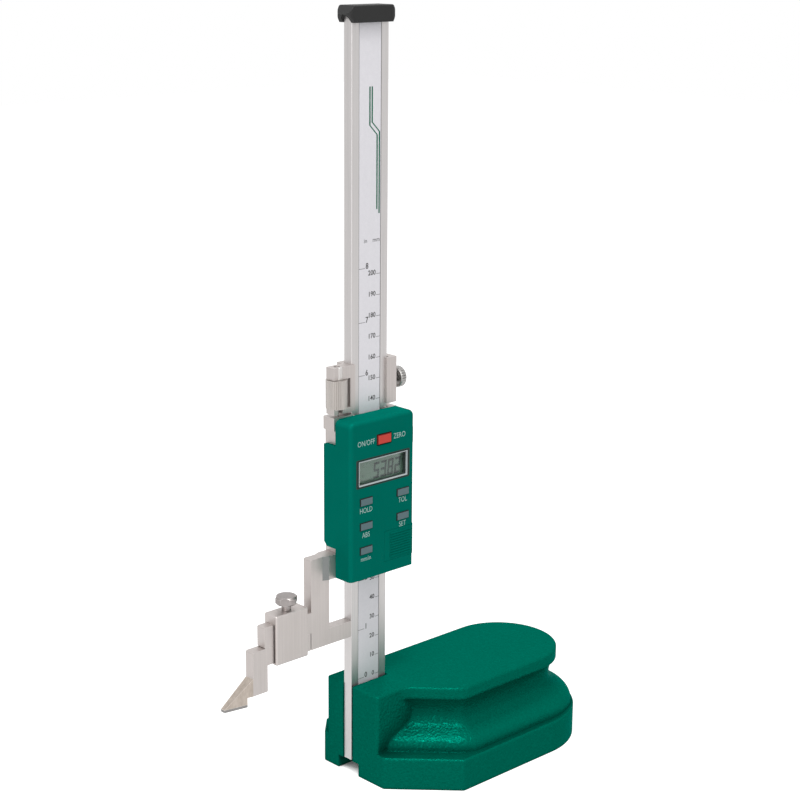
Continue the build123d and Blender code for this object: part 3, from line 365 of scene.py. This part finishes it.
steelShared = {
    "streaks": 0.5, "patch": 70.0, "wear": 0.00035, "uneven": 0.22, "metallic": 1.0, "bump": 0.12,
    "relief": 0.00002,
}
plasticShared = {
    "grain": 2600.0, "patch": 45.0, "wear": 0.0005, "breakup": 0.7, "dust": 0.04,
    "dustColour": (0.5, 0.5, 0.48), "uneven": 0.2, "flake": 0.0, "gloss": (1, 1, 1), "bump": 0.15,
    "relief": 0.00003,
}
steelLooks = {
    "beamSteel": {
        "grain": (3600.0, 3600.0, 30.0), "dark": (0.5, 0.482, 0.476), "light": (0.71, 0.683, 0.678),
        "edge": (0.66, 0.64, 0.635), "rough": 0.32, "streaks": 0.6,
    },
    "frameSteel": {
        "grain": (5000.0, 60.0, 60.0), "dark": (0.47, 0.433, 0.417), "light": (0.63, 0.582, 0.563),
        "edge": (0.7, 0.66, 0.64), "rough": 0.34,
    },
    "nutSteel": {
        "grain": (2600.0, 2600.0, 40.0), "dark": (0.36, 0.335, 0.315), "light": (0.58, 0.543, 0.513),
        "edge": (0.6, 0.565, 0.54), "rough": 0.3,
    },
    "thumbSteel": {
        "grain": (900.0, 900.0, 900.0), "dark": (0.23, 0.21, 0.204), "light": (0.44, 0.404, 0.394),
        "edge": (0.72, 0.68, 0.66), "rough": 0.24,
    },
    "keeperHighlightSteel": {
        "grain": (2600.0, 2600.0, 60.0), "dark": (0.5, 0.48, 0.47), "light": (0.78, 0.75, 0.73),
        "edge": (0.8, 0.78, 0.76), "rough": 0.3,
    },
    # Darker steel for the slider's slanted shoulder faces: painted shade
    "shoulderShadeSteel": {
        "grain": (60.0, 60.0, 4000.0), "dark": (0.19, 0.2, 0.198), "light": (0.28, 0.29, 0.285),
        "edge": (0.28, 0.29, 0.285), "rough": 0.36,
    },
    "groundNose": {
        "grain": (1500.0, 1500.0, 400.0), "dark": (0.27, 0.222, 0.185), "light": (0.68, 0.607, 0.54),
        "edge": (0.8, 0.74, 0.68), "rough": 0.3,
    },
    "screwSteel": {
        "grain": (900.0, 900.0, 900.0), "dark": (0.32, 0.31, 0.3), "light": (0.46, 0.45, 0.44),
        "edge": (0.6, 0.59, 0.58), "rough": 0.28,
    },
    "brightSteel": {
        "grain": (900.0, 60.0, 900.0), "dark": (0.66, 0.66, 0.66), "light": (0.8, 0.8, 0.8),
        "edge": (0.9, 0.9, 0.9), "rough": 0.16,
    },
    "scaleSilver": {
        "grain": (2500.0, 2500.0, 2500.0), "dark": (0.72, 0.71, 0.745), "light": (0.83, 0.815, 0.85),
        "edge": (0.84, 0.83, 0.86), "rough": 0.5, "metallic": 0.35, "uneven": 0.1, "bump": 0.05,
    },
    "carbide": {
        "grain": (4000.0, 400.0, 4000.0), "dark": (0.2, 0.19, 0.185), "light": (0.34, 0.33, 0.32),
        "edge": (0.5, 0.49, 0.48), "rough": 0.35,
    },
    "gibBrass": {
        "grain": (60.0, 60.0, 4000.0), "dark": (0.5, 0.34, 0.13), "light": (0.7, 0.5, 0.22),
        "edge": (0.8, 0.62, 0.32), "rough": 0.3,
    },
}
plasticLooks = {
    "housingGreen": {
        "dark": (0.0, 0.132, 0.098), "light": (0.0, 0.160, 0.121), "edge": (0.0, 0.172, 0.13),
        "rough": 0.26, "specular": 0.0, "flake": 0.15, "gloss": (0.0, 0.85, 0.72), "bump": 0.12,
    },
    "capBlack": {
        "dark": (0.018, 0.018, 0.018), "light": (0.028, 0.028, 0.028), "edge": (0.05, 0.05, 0.05),
        "rough": 0.42, "specular": 0.22, "bump": 0.25,
    },
    # Dark finishes for the keys' sides: painted shade around each key's face
    "greyKeySideShade": {
        "dark": (0.01, 0.012, 0.012), "light": (0.018, 0.02, 0.02), "edge": (0.04, 0.04, 0.04),
        "rough": 0.4, "specular": 0.2,
    },
    "redKeySideShade": {
        "dark": (0.16, 0.014, 0.012), "light": (0.22, 0.022, 0.018), "edge": (0.32, 0.05, 0.04),
        "rough": 0.45, "specular": 0.2,
    },
    "redKey": {
        "dark": (0.55, 0.05, 0.035), "light": (0.66, 0.07, 0.05), "edge": (0.75, 0.16, 0.12),
        "rough": 0.45, "specular": 0.25,
    },
    "greyKey": {
        "dark": (0.09, 0.148, 0.162), "light": (0.13, 0.197, 0.213), "edge": (0.24, 0.31, 0.32),
        "rough": 0.45, "specular": 0.25,
    },
    "frameGrey": {
        "dark": (0.42, 0.47, 0.48), "light": (0.52, 0.57, 0.58), "edge": (0.62, 0.66, 0.67),
        "rough": 0.35, "specular": 0.3,
    },
    # The gasket's walls inside the display frame, coloured dark grey-green as painted shade
    "gasketShade": {
        "dark": (0.03, 0.045, 0.04), "light": (0.045, 0.06, 0.055), "edge": (0.05, 0.07, 0.065),
        "rough": 0.45, "specular": 0.1,
    },
    "displayGrey": {
        "dark": (0.148, 0.237, 0.184), "light": (0.18, 0.28, 0.222), "edge": (0.18, 0.28, 0.222),
        "rough": 0.5, "specular": 0.2, "dust": 0.0,
    },
    "boardGreen": {
        "dark": (0.01, 0.09, 0.04), "light": (0.02, 0.15, 0.07), "edge": (0.2, 0.22, 0.12),
        "rough": 0.35, "specular": 0.4,
    },
    "sensorAmber": {
        "dark": (0.18, 0.12, 0.03), "light": (0.28, 0.19, 0.06), "edge": (0.35, 0.28, 0.12),
        "rough": 0.35, "specular": 0.4,
    },
}
# deep is the painted shade colour in hollows and corners
enamelLook = {
    "cells": 900.0, "ripple": 300.0, "dark": (0.0, 0.110, 0.073), "light": (0.0, 0.140, 0.095),
    "edge": (0.0, 0.145, 0.102), "deep": (0.0, 0.012, 0.008), "reach": 0.014, "depth": 1.9,
    "rough": 0.13, "specular": 0.0, "flake": 0.25, "gloss": (0.03, 0.85, 0.76),
    "bump": 0.8, "relief": 0.00055, "soften": 0.0022, "patch": 30.0, "uneven": 0.25,
    "wear": 0.0008, "breakup": 0.8,
}
glassLook = {
    "clear": (0.93, 0.97, 0.95), "dull": (0.8, 0.82, 0.8), "rough": 0.03, "bend": 1.46,
    "patch": 90.0, "dust": 1800.0,
}
finishes = {name: groundSteel(name, {**steelShared, **look}) for name, look in steelLooks.items()}
for finishName, finishLook in plasticLooks.items():
    finishes[finishName] = mouldedPlastic(finishName, {**plasticShared, **finishLook})
finishes["castGreen"] = castEnamel("castGreen", enamelLook)
finishes["clearWindow"] = displayGlass("clearWindow", glassLook)

nodeFinish = {
    "castGreen": ["base_casting"],
    "beamSteel": ["beam"],
    "scaleSilver": ["scale_strip"],
    "capBlack": ["beam_end_cap"],
    "frameSteel": ["adjust_carriage", "slider_frame", "scriber_clamp", "scriber"],
    "nutSteel": ["adjust_nut"],
    "thumbSteel": ["clamp_thumb_screw"],
    "screwSteel": [
        "beam_screws", "carriage_clamp_screw", "adjust_rod", "gib_screws", "slider_lock_screw",
        "housing_screws",
    ],
    "brightSteel": ["battery_cell"],
    "frameGrey": ["lcd_frame"],
    "carbide": ["carbide_tip"],
    "gibBrass": ["carriage_gib", "slider_gib", "battery_contacts"],
    "housingGreen": ["housing_shell", "battery_cover", "data_port_cover"],
    "gasketShade": ["lcd_gasket"],
    "redKey": ["button_zero"],
    "greyKey": ["button_hold", "button_abs", "button_unit", "button_tol", "button_set"],
    "displayGrey": ["lcd_module"],
    "boardGreen": ["circuit_board"],
    "sensorAmber": ["reader_plate"],
    "clearWindow": ["lcd_window"],
}


def dressNodes(table):
    for finish, names in table.items():
        for name in names:
            slots = nodes[name].data.materials
            slots.clear()
            slots.append(finishes[finish])
            for polygon in nodes[name].data.polygons:
                polygon.material_index = 0


def dressSome(names, finish, chosen):
    # A second finish on the faces of a node that a test picks
    for name in names:
        data = nodes[name].data
        data.materials.append(finishes[finish])
        for polygon in data.polygons:
            if chosen(polygon):
                polygon.material_index = len(data.materials) - 1


# Lengths in mm and areas in square mm; the other values are parts of a unit normal

facePicks = {
    "noseReach": 14.5, "keyFacing": 0.9, "shoulderLean": 0.2, "shoulderRise": 0.1, "shoulderArea": 12.0,
}
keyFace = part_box("housing_shell")[0].y
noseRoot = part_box("scriber")[0].x + facePicks["noseReach"] * mm


def isKeySide(polygon):
    return polygon.normal.y > -facePicks["keyFacing"] or polygon.center.y > keyFace


def isNose(polygon):
    return polygon.center.x < noseRoot


def isShoulder(polygon):
    # The slanted front faces where the slider's arm grows thicker; they get a darker steel as painted
    # shade
    normal, lean = polygon.normal, facePicks["shoulderLean"]
    slanted = normal.x < -lean and normal.y < -lean and abs(normal.z) < facePicks["shoulderRise"]
    return slanted and polygon.area > facePicks["shoulderArea"] * mm * mm


dressNodes(nodeFinish)
# The keys' sides and hidden faces get a darker finish as painted shade
dressSome(nodeFinish["redKey"], "redKeySideShade", isKeySide)
dressSome(nodeFinish["greyKey"], "greyKeySideShade", isKeySide)
dressSome(["scriber"], "groundNose", isNose)
dressSome(["slider_frame"], "shoulderShadeSteel", isShoulder)
print("stage: finishes on", sum(len(names) for names in nodeFinish.values()), "nodes")


# Ink: marks, numbers and words, as thin meshes that lie just in front of a face

def makeInk(name, look):
    material, tree, surface = newMaterial(name)
    touch = placeGroup(tree, handling, 0, 0, Size=look["patch"])
    tint = mixColours(tree, touch["Patches"], look["dark"], look["light"], 2, 0)
    plug(tree, tint, surface.inputs["Base Color"])
    roughen(tree, surface, touch["Patches"], look)
    surface.inputs["Specular IOR Level"].default_value = look["specular"]
    return material


inkShared = {"uneven": 0.2, "rough": 0.5, "specular": 0.1}
inkLooks = {
    "scaleInk": {"patch": 900.0, "dark": (0.05, 0.05, 0.05), "light": (0.14, 0.14, 0.14)},
    "stripeInk": {"patch": 300.0, "dark": (0.0, 0.1, 0.05), "light": (0.0, 0.16, 0.09)},
    "whiteInk": {"patch": 700.0, "dark": (0.36, 0.52, 0.5), "light": (0.46, 0.63, 0.6)},
    # A dark ring around the display's frame: painted shade
    "surroundShade": {"patch": 300.0, "dark": (0.012, 0.035, 0.03), "light": (0.02, 0.05, 0.042)},
    "jointShade": {"patch": 120.0, "dark": (0.2, 0.19, 0.2), "light": (0.36, 0.35, 0.36)},
    "displayInk": {"patch": 400.0, "dark": (0.024, 0.052, 0.052), "light": (0.05, 0.086, 0.086)},
}
inks = {name: makeInk(name, {**inkShared, **look}) for name, look in inkLooks.items()}


def addBar(mesh, left, right, foot, top, lean=0.0):
    # Upright rectangle in x and z at y = 0, in mm; lean shifts its top sideways
    corners = [
        mesh.verts.new(corner)
        for corner in (
            (left + lean * foot, 0, foot), (right + lean * foot, 0, foot),
            (right + lean * top, 0, top), (left + lean * top, 0, top),
        )
    ]
    mesh.faces.new(corners)


fontSetup = {"capitalShare": 0.71, "resolution": 3}  # a capital's part of the font size


def addWords(mesh, words, x, z, height, squeeze=1.0, align="LEFT", weight=0.0):
    # Words set in the built-in font, flattened into the mesh; z is their foot
    curve = bpy.data.curves.new("words", "FONT")
    curve.body = words
    curve.align_x = align
    curve.size = height / fontSetup["capitalShare"]
    curve.resolution_u = fontSetup["resolution"]
    curve.offset = weight * height
    piece = bpy.data.objects.new("words", curve)
    bpy.context.scene.collection.objects.link(piece)
    bpy.context.view_layer.update()
    flat = piece.to_mesh()
    start = len(mesh.verts)
    mesh.from_mesh(flat)
    mesh.verts.ensure_lookup_table()
    for corner in mesh.verts[start:]:
        corner.co = Vector((x + corner.co.x * squeeze, 0, z + corner.co.y))
    piece.to_mesh_clear()
    bpy.data.objects.remove(piece)
    bpy.data.curves.remove(curve)


def placePiece(name, mesh, middle, material, body):
    # The mesh is drawn in mm from middle, which is in metres
    for corner in mesh.verts:
        corner.co = corner.co * mm + Vector(middle)
    data = bpy.data.meshes.new(name)
    mesh.to_mesh(data)
    mesh.free()
    piece = bpy.data.objects.new(name, data)
    bpy.context.scene.collection.objects.link(piece)
    data.materials.append(material)
    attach(piece, body)


def placeInk(name, mesh, face, proud, ink, body):
    # Drawn in mm, and set proud millimetres in front of a face at y = face metres
    placePiece(name, mesh, (0, face - proud * mm, 0), inks[ink], body)


# Scale: millimetres on the right edge, inches on the left, from the same zero

scaleMarks = {
    "zero": 47.9, "line": 0.2, "margin": 0.1, "gap": 0.4, "weight": 0.03, "proud": 0.02,
    "mmStep": 10, "mmCount": 21, "mmLine": 2.6, "mmHeight": 2.3, "mmDrop": 0.3, "mmSqueeze": 0.98,
    "inchStep": 25.4, "inchCount": 9, "inchLine": 4.0, "inchHeight": 2.7, "inchDrop": 0.2,
    "inchSqueeze": 0.9, "head": 263.0, "headHeight": 2.1, "inchHead": 3.2, "mmHead": 0.5,
}


def makeScale(marks):
    low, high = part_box("scale_strip")
    left, right = low.x / mm, high.x / mm
    mesh = bmesh.new()
    half = marks["line"] / 2
    for step in range(marks["mmCount"]):
        height = marks["zero"] + step * marks["mmStep"]
        addBar(mesh, right - marks["mmLine"], right - marks["margin"], height - half, height + half)
        addWords(
            mesh, str(step * marks["mmStep"]), right - marks["mmLine"] - marks["gap"],
            height - marks["mmDrop"], marks["mmHeight"], marks["mmSqueeze"], "RIGHT", marks["weight"],
        )
    for inch in range(marks["inchCount"]):
        height = marks["zero"] + inch * marks["inchStep"]
        addBar(mesh, left + marks["margin"], left + marks["inchLine"], height - half, height + half)
        addWords(
            mesh, str(inch), left + marks["inchLine"] + marks["gap"], height - marks["inchDrop"],
            marks["inchHeight"], marks["inchSqueeze"], weight=marks["weight"],
        )
    addWords(mesh, "in", left + marks["inchHead"], marks["head"], marks["headHeight"])
    addWords(mesh, "mm", right - marks["mmHead"], marks["head"], marks["headHeight"], align="RIGHT")
    placeInk("scaleMarks", mesh, low.y, marks["proud"], "scaleInk", "base")


makeScale(scaleMarks)

# Shade line along both edges of the strip

stripJoint = {"wide": 0.28, "proud": 0.01}


def makeStripJoint(look):
    low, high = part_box("scale_strip")
    mesh = bmesh.new()
    for left in (low.x / mm, high.x / mm - look["wide"]):
        addBar(mesh, left, left + look["wide"], low.z / mm, high.z / mm)
    placeInk("stripJoint", mesh, low.y, look["proud"], "jointShade", "base")


makeStripJoint(stripJoint)

# Plain double stripe on the scale's upper part

stripe = {
    "right": 6.2, "wide": 0.8, "gap": 0.6, "foot": 276.0, "stagger": 2.0, "bend": 318.0, "jog": 4.5,
    "top": 334.0, "proud": 0.02,
}


def makeStripe(look):
    low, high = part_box("scale_strip")
    centre = (low.x + high.x) / 2 / mm
    mesh = bmesh.new()
    for line in range(2):
        right = centre + look["right"] - line * (look["wide"] + look["gap"])
        left = right - look["wide"]
        bend = look["bend"] - look["jog"] - line * (look["wide"] + look["gap"])
        rows = [
            (left, right, look["foot"] + line * look["stagger"]), (left, right, bend),
            (left - look["jog"], right - look["jog"], bend + look["jog"]),
            (left - look["jog"], right - look["jog"], look["top"]),
        ]
        corners = [(mesh.verts.new((a, 0, z)), mesh.verts.new((b, 0, z))) for a, b, z in rows]
        for under, over in zip(corners, corners[1:]):
            mesh.faces.new((under[0], under[1], over[1], over[0]))
    placeInk("scaleStripe", mesh, low.y, look["proud"], "stripeInk", "base")


makeStripe(stripe)
print("stage: scale")

# White words beside the buttons, in mm from the beam's centre line and the housing's foot

beamCentre = (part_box("beam")[0].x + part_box("beam")[1].x) / 2 / mm
housingWords = {
    "proud": 0.015,
    "rows": [
        {"words": "ON/OFF", "x": -12.7, "z": 65.7, "height": 2.6, "squeeze": 0.82},
        {"words": "ZERO", "x": 8.5, "z": 65.7, "height": 2.6, "squeeze": 0.82},
        {"words": "HOLD", "x": -12.7, "z": 33.0, "height": 2.6, "squeeze": 0.8},
        {"words": "ABS", "x": -12.7, "z": 20.8, "height": 2.6, "squeeze": 0.8},
        {"words": "mm/in", "x": -12.7, "z": 9.2, "height": 2.3, "squeeze": 0.8},
        {"words": "TOL", "x": 10.8, "z": 33.3, "height": 2.6, "squeeze": 0.8},
        {"words": "SET", "x": 10.8, "z": 21.2, "height": 2.6, "squeeze": 0.8},
    ],
}


def makeHousingWords(look):
    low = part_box("housing_shell")[0]
    mesh = bmesh.new()
    for row in look["rows"]:
        addWords(
            mesh, row["words"], beamCentre + row["x"], low.z / mm + row["z"], row["height"],
            row["squeeze"], "CENTER",
        )
    placeInk("housingWords", mesh, low.y, look["proud"], "whiteInk", "slider")


makeHousingWords(housingWords)

# Seven-segment reading on the display block

readout = {
    "reading": "53.82", "height": 7.9, "wide": 3.7, "stroke": 1.15, "pitch": 4.5, "lean": 0.09,
    "right": 11.4, "foot": 47.3, "point": 0.9, "pointBack": 1.0, "flag": (-15.4, 52.2, 1.0, 1.2),
    "slit": 0.16, "proud": 0.03,
}

# The usual letters of a digit's seven bars, and the bars of each digit

segmentBars = {
    "a": "top", "b": "upperRight", "c": "lowerRight", "d": "foot", "e": "lowerLeft",
    "f": "upperLeft", "g": "middle",
}
digitSegments = {
    "0": "abcdef", "1": "bc", "2": "abged", "3": "abgcd", "4": "fgbc", "5": "afgcd", "6": "afgedc",
    "7": "abc", "8": "abcdefg", "9": "abfgcd",
}


def segmentBox(name, look):
    # Left, right, foot and top of one bar in the digit's box
    wide, height, stroke = look["wide"], look["height"], look["stroke"]
    half, slit = height / 2, stroke * look["slit"]
    return {
        "top": (slit, wide - slit, height - stroke, height),
        "middle": (slit, wide - slit, half - stroke / 2, half + stroke / 2),
        "foot": (slit, wide - slit, 0, stroke),
        "upperRight": (wide - stroke, wide, half + slit, height - slit),
        "lowerRight": (wide - stroke, wide, slit, half - slit),
        "upperLeft": (0, stroke, half + slit, height - slit),
        "lowerLeft": (0, stroke, slit, half - slit),
    }[name]


def makeReadout(look):
    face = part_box("lcd_module")[0].y
    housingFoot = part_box("housing_shell")[0].z / mm
    mesh = bmesh.new()
    x = look["right"] - look["wide"]
    for sign in reversed(look["reading"]):
        if sign == ".":
            pointLeft = x + look["pitch"] - look["pointBack"]
            addBar(mesh, pointLeft, pointLeft + look["point"], 0, look["point"])
            continue
        for segment in digitSegments[sign]:
            left, right, foot, top = segmentBox(segmentBars[segment], look)
            addBar(mesh, x + left, x + right, foot, top, look["lean"])
        x -= look["pitch"]
    flagX, flagZ, flagWide, flagHigh = look["flag"]
    addBar(mesh, flagX, flagX + flagWide, flagZ - look["foot"], flagZ - look["foot"] + flagHigh)
    for corner in mesh.verts:
        corner.co = (beamCentre + corner.co.x, 0, housingFoot + look["foot"] + corner.co.z)
    placeInk("readout", mesh, face, look["proud"], "displayInk", "slider")


makeReadout(readout)

# Dark ring of painted shade around the display's frame, leaving a thin light line of the frame

surroundShadeLook = {"outside": 0.25, "inside": 0.35, "proud": 0.02}


def joinRings(mesh, under, over):
    # One band of faces between two closed rings of as many corners
    for step in range(len(under)):
        after = (step + 1) % len(under)
        mesh.faces.new((under[step], under[after], over[after], over[step]))


def makeSurround(look):
    low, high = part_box("lcd_frame")
    mesh = bmesh.new()
    rings = []
    for grow in (look["outside"], -look["inside"]):
        left, right = low.x / mm - grow, high.x / mm + grow
        foot, top = low.z / mm - grow, high.z / mm + grow
        places = ((left, 0, foot), (right, 0, foot), (right, 0, top), (left, 0, top))
        rings.append([mesh.verts.new(place) for place in places])
    joinRings(mesh, *rings)
    placeInk("displaySurroundShade", mesh, low.y, look["proud"], "surroundShade", "slider")


makeSurround(surroundShadeLook)
print("stage: words and reading")

# Ribbed keeper in the mouth of the rod's slot, in the carriage's upper lug; its lighter steel is a
# painted highlight line

slotKeeper = {
    "wide": 2.8, "deep": 1.2, "low": 201.1, "chamfer": 0.12, "rib": 0.55, "ribAt": -0.6,
    "ribSteps": 8, "proud": 0.35,
}


def makeKeeper(look):
    rodLow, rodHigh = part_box("adjust_rod")
    low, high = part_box("adjust_carriage")
    half, edge = look["wide"] / 2, look["chamfer"]
    outline = [(-half, look["deep"]), (-half, edge), (-half + edge, 0)]
    for step in range(look["ribSteps"] + 1):
        turn = math.pi * step / look["ribSteps"]
        outline.append((look["ribAt"] - look["rib"] * math.cos(turn), -look["proud"] * math.sin(turn)))
    outline += [(half - edge, 0), (half, edge), (half, look["deep"])]
    mesh = bmesh.new()
    rings = []
    for z, inset in ((look["low"], 0), (high.z / mm - edge, 0), (high.z / mm, edge)):
        rings.append([mesh.verts.new((x * (1 - inset / half), y + inset, z)) for x, y in outline])
    for under, over in zip(rings, rings[1:]):
        joinRings(mesh, under, over)
    mesh.faces.new(rings[0][::-1])
    mesh.faces.new(rings[-1])
    bmesh.ops.recalc_face_normals(mesh, faces=mesh.faces)
    middle = ((rodLow.x + rodHigh.x) / 2, low.y, 0)
    placePiece("slotKeeper", mesh, middle, finishes["keeperHighlightSteel"], "carriage")


makeKeeper(slotKeeper)
print("stage: keeper")


# World, floor and lamps

worldLook = {"light": 0.42, "seen": 1.0}
floorLook = {
    "size": 6.0, "squares": 8, "drop": 0.0002, "patch": 3.0, "dust": 400.0,
    "light": (0.6, 0.6, 0.6), "dark": (0.582, 0.582, 0.582), "rough": 0.8,
    "lift": 0.8, "mirrorShare": 0.6,
}

# Where the floor gives no light of its own, a painted shade under and inside the object: reach in metres,
# and how open a place has to be

floorCoverShade = {"reach": 0.04, "samples": 8, "open": 0.15, "gain": 5.0}
lamps = [
    {"name": "topLamp", "place": (-0.3, -0.45, 1.6), "aim": (0, 0, 0.15), "size": 1.2, "power": 13.0},
    {"name": "glintLamp", "place": (-0.35, -0.4, 1.5), "aim": (0, 0, 0.05), "size": 0.22, "power": 5.0},
    {"name": "leftLamp", "place": (-1.5, -0.6, 0.75), "aim": (0, 0, 0.15), "size": 1.0, "power": 8.0},
]


def makeWorld(look):
    world = bpy.data.worlds.new("room")
    world.use_nodes = True
    bpy.context.scene.world = world
    tree = world.node_tree
    tree.nodes.clear()
    path = addNode(tree, "ShaderNodeLightPath", -3, 0)
    seen = mathNode(tree, "MAXIMUM", -2, 0, path.outputs["Is Camera Ray"], path.outputs["Is Glossy Ray"])
    shown = mathNode(tree, "MAXIMUM", -1, 0, seen, path.outputs["Is Transmission Ray"])
    background = addNode(tree, "ShaderNodeBackground", 1, 0)
    background.inputs["Color"].default_value = (1, 1, 1, 1)
    strength = mixNumbers(tree, shown, look["light"], look["seen"], 0, 0)
    plug(tree, strength, background.inputs["Strength"])
    plug(tree, background.outputs[0], addNode(tree, "ShaderNodeOutputWorld", 3, 0).inputs[0])


def floorPaper(look, hidden):
    # Pale paper that shows white to the camera and keeps the object's shadow
    material, tree, surface = newMaterial("floorPaper")
    touch = placeGroup(tree, handling, 0, 0, Size=look["patch"], Dust=look["dust"])
    tint = mixColours(tree, touch["Patches"], look["dark"], look["light"], 2, 0)
    plug(tree, tint, surface.inputs["Base Color"])
    surface.inputs["Roughness"].default_value = look["rough"]
    surface.inputs["Specular IOR Level"].default_value = 0.0
    path = addNode(tree, "ShaderNodeLightPath", 3, 2)
    mirrored = mathNode(tree, "MULTIPLY", 4, 3, path.outputs["Is Glossy Ray"], look["mirrorShare"])
    seen = mathNode(tree, "MAXIMUM", 4, 2, path.outputs["Is Camera Ray"], mirrored)
    # Painted shade: the floor's glow fades where ambient occlusion finds it covered
    cover = addNode(tree, "ShaderNodeAmbientOcclusion", 3, 4, samples=hidden["samples"])
    cover.inputs["Distance"].default_value = hidden["reach"]
    uncovered = mathNode(tree, "SUBTRACT", 4, 4, cover.outputs["AO"], hidden["open"])
    clear = mathNode(tree, "MULTIPLY", 5, 4, uncovered, hidden["gain"], clamp=True)
    shown = mathNode(tree, "MULTIPLY", 5, 3, seen, clear)
    lifted = mathNode(tree, "MULTIPLY", 5, 2, shown, look["lift"])
    surface.inputs["Emission Color"].default_value = (1, 1, 1, 1)
    plug(tree, lifted, surface.inputs["Emission Strength"])
    return material


def makeFloor(look, hidden):
    mesh = bmesh.new()
    squares = look["squares"]
    bmesh.ops.create_grid(mesh, x_segments=squares, y_segments=squares, size=look["size"] / 2)
    data = bpy.data.meshes.new("floor")
    mesh.to_mesh(data)
    mesh.free()
    data.materials.append(floorPaper(look, hidden))
    floor = bpy.data.objects.new("floor", data)
    floor.location.z = -look["drop"]
    bpy.context.scene.collection.objects.link(floor)


def makeLamps(rows):
    for row in rows:
        light = bpy.data.lights.new(row["name"], "AREA")
        light.shape = "DISK"
        light.size = row["size"]
        light.energy = row["power"]
        lamp = bpy.data.objects.new(row["name"], light)
        lamp.location = row["place"]
        towards = Vector(row["aim"]) - Vector(row["place"])
        lamp.rotation_euler = towards.to_track_quat("-Z", "Y").to_euler()
        bpy.context.scene.collection.objects.link(lamp)


makeWorld(worldLook)
makeFloor(floorLook, floorCoverShade)
makeLamps(lamps)
bpy.context.scene.view_settings.view_transform = "Standard"
print("stage: room and lamps")
